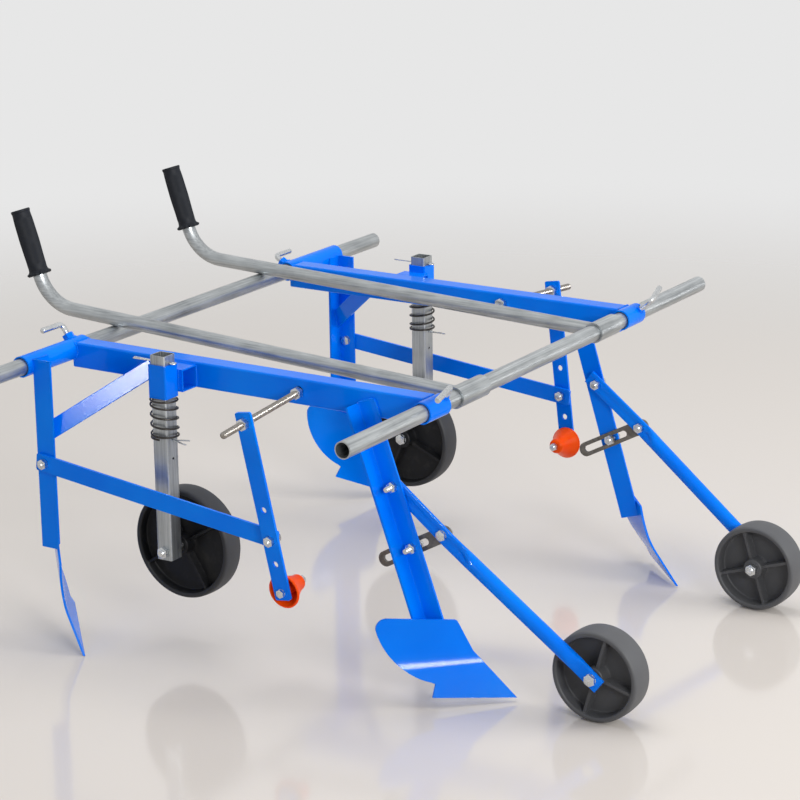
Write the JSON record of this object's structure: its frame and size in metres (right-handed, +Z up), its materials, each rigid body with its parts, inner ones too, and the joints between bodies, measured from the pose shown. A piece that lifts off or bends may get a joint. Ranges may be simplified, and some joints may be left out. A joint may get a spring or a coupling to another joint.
{
  "type": "mulch film layer",
  "caption": "Hand mulch film layer: sliding side frames on cross tubes carry ploughs, film cones, sprung press wheels, covering blades, front wheels and lift-up handles.",
  "frame": {"origin": "on the floor, under the middle of the box that holds the whole machine", "axes": "+Z up; +Y to the rear, towards the grips; +X to the side called right"},
  "size_m": [1.23, 1.2983, 0.6881],
  "materials": {
    "blue_paint": "bright gloss paint",
    "galvanised_steel": "mottled zinc, dull",
    "zinc_steel": "bright zinc plate",
    "spring_steel": "dark oiled wire",
    "bare_steel": "weathered brown grey",
    "orange_plastic": "bright orange",
    "grey_plastic": "dark grey",
    "black_rubber": "matt black"
  },
  "bodies": {
    "cross_tubes": {"front_cross_tube": "galvanised_steel", "rear_cross_tube": "galvanised_steel"},
    "left_frame": {"left_side_beam": "blue_paint", "left_front_sleeve": "blue_paint", "left_rear_sleeve": "blue_paint", "left_rear_leg": "blue_paint", "left_leg_brace": "blue_paint", "left_post_guide": "blue_paint", "left_plough_leg": "blue_paint", "left_plough": "blue_paint", "left_cover_blade": "blue_paint", "left_film_rod": "zinc_steel", "left_film_arm": "blue_paint", "left_link_bar": "blue_paint", "left_frame_fasteners": "zinc_steel", "left_cone_bolt": "zinc_steel", "left_press_spring": "spring_steel"},
    "left_post": {"left_press_post": "galvanised_steel", "left_post_pins": "zinc_steel", "left_press_axle_bolt": "zinc_steel"},
    "left_press_wheel": {"left_press_wheel": "grey_plastic"},
    "left_cone": {"left_film_cone": "orange_plastic"},
    "left_wheel_arm": {"left_wheel_arm": "blue_paint", "left_wheel_arm_bolts": "zinc_steel"},
    "left_slot_bar": {"left_slot_bar": "bare_steel"},
    "left_front_wheel": {"left_front_wheel": "grey_plastic"},
    "left_handle": {"left_handle_tube": "galvanised_steel", "left_handle_sleeve": "galvanised_steel", "left_grip": "black_rubber"},
    "left_front_clamp": {"left_front_clamp_screw": "zinc_steel"},
    "left_rear_clamp": {"left_rear_clamp_screw": "zinc_steel"},
    "right_frame": {"right_side_beam": "blue_paint", "right_front_sleeve": "blue_paint", "right_rear_sleeve": "blue_paint", "right_rear_leg": "blue_paint", "right_leg_brace": "blue_paint", "right_post_guide": "blue_paint", "right_plough_leg": "blue_paint", "right_plough": "blue_paint", "right_cover_blade": "blue_paint", "right_film_rod": "zinc_steel", "right_film_arm": "blue_paint", "right_link_bar": "blue_paint", "right_frame_fasteners": "zinc_steel", "right_cone_bolt": "zinc_steel", "right_press_spring": "spring_steel"},
    "right_post": {"right_press_post": "galvanised_steel", "right_post_pins": "zinc_steel", "right_press_axle_bolt": "zinc_steel"},
    "right_press_wheel": {"right_press_wheel": "grey_plastic"},
    "right_cone": {"right_film_cone": "orange_plastic"},
    "right_wheel_arm": {"right_wheel_arm": "blue_paint", "right_wheel_arm_bolts": "zinc_steel"},
    "right_slot_bar": {"right_slot_bar": "bare_steel"},
    "right_front_wheel": {"right_front_wheel": "grey_plastic"},
    "right_handle": {"right_handle_tube": "galvanised_steel", "right_handle_sleeve": "galvanised_steel", "right_grip": "black_rubber"},
    "right_front_clamp": {"right_front_clamp_screw": "zinc_steel"},
    "right_rear_clamp": {"right_rear_clamp_screw": "zinc_steel"}
  },
  "joints": [
    {"name": "left_frame_slide", "type": "slide", "parent": "cross_tubes", "child": "left_frame", "axis": [-1, 0, 0], "range_m": [-0.15, 0.12]},
    {"name": "left_handle_lift", "type": "hinge", "parent": "left_frame", "child": "left_handle", "pos_m": [-0.221, -0.29467, 0.484], "axis": [1, 0, 0], "range_deg": [0, 150]},
    {"name": "left_post_slide", "type": "slide", "parent": "left_frame", "child": "left_post", "axis": [0, 0, 1], "range_m": [0, 0.04], "stiffness_N_per_m": 4600, "springref_m": -0.012, "deforming": ["left_press_spring"]},
    {"name": "left_press_wheel_spin", "type": "hinge", "parent": "left_post", "child": "left_press_wheel", "pos_m": [-0.352, 0.18933, 0.182], "axis": [1, 0, 0], "continuous": true},
    {"name": "left_cone_spin", "type": "hinge", "parent": "left_frame", "child": "left_cone", "pos_m": [-0.46999, -0.08838, 0.17912], "axis": [-0.9962, 0, -0.0872], "continuous": true},
    {"name": "left_wheel_arm_tilt", "type": "hinge", "parent": "left_frame", "child": "left_wheel_arm", "pos_m": [-0.34, -0.22335, 0.34489], "axis": [-1, 0, 0], "range_deg": [-4, 10]},
    {"name": "left_slot_bar_turn", "type": "hinge", "parent": "left_wheel_arm", "child": "left_slot_bar", "pos_m": [-0.34, -0.31217, 0.27665], "axis": [-1, 0, 0], "range_deg": [-3.5, 1.7]},
    {"name": "left_front_wheel_spin", "type": "hinge", "parent": "left_wheel_arm", "child": "left_front_wheel", "pos_m": [-0.2949, -0.57267, 0.0765], "axis": [1, 0, 0], "continuous": true},
    {"name": "left_front_clamp_turn", "type": "hinge", "parent": "left_frame", "child": "left_front_clamp", "pos_m": [-0.323, -0.29467, 0.484], "axis": [0, -0.5592, 0.829], "range_deg": [0, 180]},
    {"name": "left_rear_clamp_turn", "type": "hinge", "parent": "left_frame", "child": "left_rear_clamp", "pos_m": [-0.331, 0.43333, 0.484], "axis": [0, 0.5878, 0.809], "range_deg": [0, 180]},
    {"name": "right_frame_slide", "type": "slide", "parent": "cross_tubes", "child": "right_frame", "axis": [1, 0, 0], "range_m": [-0.15, 0.12]},
    {"name": "right_handle_lift", "type": "hinge", "parent": "right_frame", "child": "right_handle", "pos_m": [0.221, -0.29467, 0.484], "axis": [1, 0, 0], "range_deg": [0, 150]},
    {"name": "right_post_slide", "type": "slide", "parent": "right_frame", "child": "right_post", "axis": [0, 0, 1], "range_m": [0, 0.04], "stiffness_N_per_m": 4600, "springref_m": -0.012, "deforming": ["right_press_spring"]},
    {"name": "right_press_wheel_spin", "type": "hinge", "parent": "right_post", "child": "right_press_wheel", "pos_m": [0.352, 0.18933, 0.182], "axis": [1, 0, 0], "continuous": true},
    {"name": "right_cone_spin", "type": "hinge", "parent": "right_frame", "child": "right_cone", "pos_m": [0.46999, -0.08838, 0.17912], "axis": [0.9962, 0, -0.0872], "continuous": true},
    {"name": "right_wheel_arm_tilt", "type": "hinge", "parent": "right_frame", "child": "right_wheel_arm", "pos_m": [0.34, -0.22334, 0.34552], "axis": [-1, 0, 0], "range_deg": [-4, 10]},
    {"name": "right_slot_bar_turn", "type": "hinge", "parent": "right_wheel_arm", "child": "right_slot_bar", "pos_m": [0.34, -0.31208, 0.27718], "axis": [-1, 0, 0], "range_deg": [-3.5, 1.7]},
    {"name": "right_front_wheel_spin", "type": "hinge", "parent": "right_wheel_arm", "child": "right_front_wheel", "pos_m": [0.2896, -0.57267, 0.0765], "axis": [1, 0, 0], "continuous": true},
    {"name": "right_front_clamp_turn", "type": "hinge", "parent": "right_frame", "child": "right_front_clamp", "pos_m": [0.337, -0.29467, 0.484], "axis": [0, -0.766, 0.6428], "range_deg": [0, 180]},
    {"name": "right_rear_clamp_turn", "type": "hinge", "parent": "right_frame", "child": "right_rear_clamp", "pos_m": [0.326, 0.43333, 0.484], "axis": [0, 0.848, 0.5299], "range_deg": [0, 180]}
  ],
  "couplings": [
    {"joint": "left_slot_bar_turn", "follows": "left_wheel_arm_tilt", "ratio": -0.3},
    {"joint": "right_slot_bar_turn", "follows": "right_wheel_arm_tilt", "ratio": -0.3}
  ]
}
